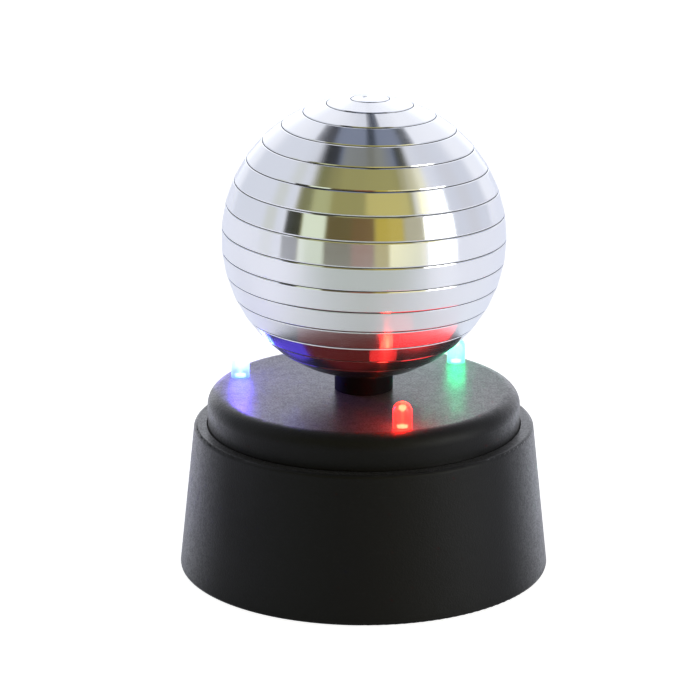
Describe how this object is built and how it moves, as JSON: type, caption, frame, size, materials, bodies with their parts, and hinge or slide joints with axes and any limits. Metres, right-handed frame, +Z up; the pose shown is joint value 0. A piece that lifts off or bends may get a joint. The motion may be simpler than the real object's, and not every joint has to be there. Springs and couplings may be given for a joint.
{
  "type": "rotating mirror ball lamp",
  "caption": "Battery desk lamp: a mirror ball turned slowly by a geared motor on a round tapered black base with coloured light-emitting diodes.",
  "frame": {"origin": "centre of the feet's underside, on the ball's axis", "axes": "+Z up along the ball's shaft; the red diode is near -Y, the front"},
  "size_m": [0.0998, 0.0998, 0.1296],
  "materials": {
    "black_plastic": "moulded ABS with a fine spark texture, semi-gloss",
    "mirror_film": "bright mirror film",
    "ball_plastic": "plain moulded plastic under the mirror strip",
    "hub_plastic": "smooth black plastic",
    "lens_red": "water-clear epoxy lit red",
    "lens_green": "water-clear epoxy lit green",
    "lens_blue": "water-clear epoxy lit blue",
    "foot_rubber": "soft black rubber",
    "screw_steel": "zinc plated",
    "shaft_steel": "ground bar",
    "bush_brass": "turned brass",
    "contact_nickel": "nickel plated spring steel",
    "gear_plastic": "natural acetal",
    "case_plastic": "moulded gearbox plastic",
    "motor_steel": "pressed steel can",
    "magnet_ferrite": "sintered ferrite",
    "armature_metal": "laminations with copper winding",
    "board_laminate": "green solder mask",
    "chip_plastic": "black moulding",
    "wire_red": "insulated wire",
    "wire_black": "insulated wire",
    "cell_jacket": "plain printed jacket without marks"
  },
  "bodies": {
    "base": {"base_housing": "black_plastic", "top_cover": "black_plastic", "bottom_plate": "black_plastic", "base_screws": "screw_steel", "feet": "foot_rubber", "battery_cell_left": "cell_jacket", "battery_cell_middle": "cell_jacket", "battery_cell_right": "cell_jacket", "flat_contacts": "contact_nickel", "spring_contacts": "contact_nickel", "switch_body": "chip_plastic", "control_board": "board_laminate", "control_chip": "chip_plastic", "board_capacitor": "chip_plastic", "board_resistors": "case_plastic", "board_screws": "screw_steel", "led_red": "lens_red", "led_green": "lens_green", "led_blue": "lens_blue", "led_leads": "contact_nickel", "led_wires": "wire_black", "battery_lead_red": "wire_red", "battery_lead_black": "wire_black", "motor_leads": "wire_red", "gearbox_base": "case_plastic", "gearbox_lid": "case_plastic", "gearbox_lid_screws": "screw_steel", "gearbox_mount_screws": "screw_steel", "motor_screws": "screw_steel", "first_axle": "shaft_steel", "second_axle": "shaft_steel", "motor_can": "motor_steel", "motor_end_cap": "chip_plastic", "motor_magnet": "magnet_ferrite", "shaft_bush": "bush_brass"},
    "ball": {"mirror_strip": "mirror_film", "ball_upper_shell": "ball_plastic", "ball_lower_shell": "ball_plastic", "ball_hub": "hub_plastic", "hub_nut": "case_plastic", "output_shaft": "shaft_steel", "output_gear": "gear_plastic"},
    "second_gear": {"second_gear": "gear_plastic"},
    "first_gear": {"first_gear": "gear_plastic"},
    "motor_rotor": {"motor_shaft": "shaft_steel", "motor_pinion": "bush_brass", "motor_armature": "armature_metal"},
    "switch_knob": {"switch_knob": "hub_plastic"},
    "battery_door": {"battery_door": "black_plastic", "door_screw": "screw_steel"}
  },
  "joints": [
    {"name": "ball_spin", "type": "hinge", "parent": "base", "child": "ball", "pos_m": [0, 0, 0.04], "axis": [0, 0, 1], "continuous": true},
    {"name": "second_gear_spin", "type": "hinge", "parent": "base", "child": "second_gear", "pos_m": [-0.01256, 0.00725, 0.04], "axis": [0, 0, 1], "continuous": true},
    {"name": "first_gear_spin", "type": "hinge", "parent": "base", "child": "first_gear", "pos_m": [-0.00452, 0.01683, 0.04], "axis": [0, 0, 1], "continuous": true},
    {"name": "motor_spin", "type": "hinge", "parent": "base", "child": "motor_rotor", "pos_m": [0.00779, 0.01465, 0.04], "axis": [0, 0, 1], "continuous": true},
    {"name": "switch_slide", "type": "slide", "parent": "base", "child": "switch_knob", "axis": [1, 0, 0], "range_m": [0, 0.003]},
    {"name": "door_lift", "type": "slide", "parent": "base", "child": "battery_door", "axis": [0, 0, -1], "range_m": [0, 0.015]}
  ],
  "couplings": [
    {"joint": "second_gear_spin", "follows": "ball_spin", "ratio": -4.8},
    {"joint": "first_gear_spin", "follows": "ball_spin", "ratio": 19.2},
    {"joint": "motor_spin", "follows": "ball_spin", "ratio": -76.8}
  ]
}
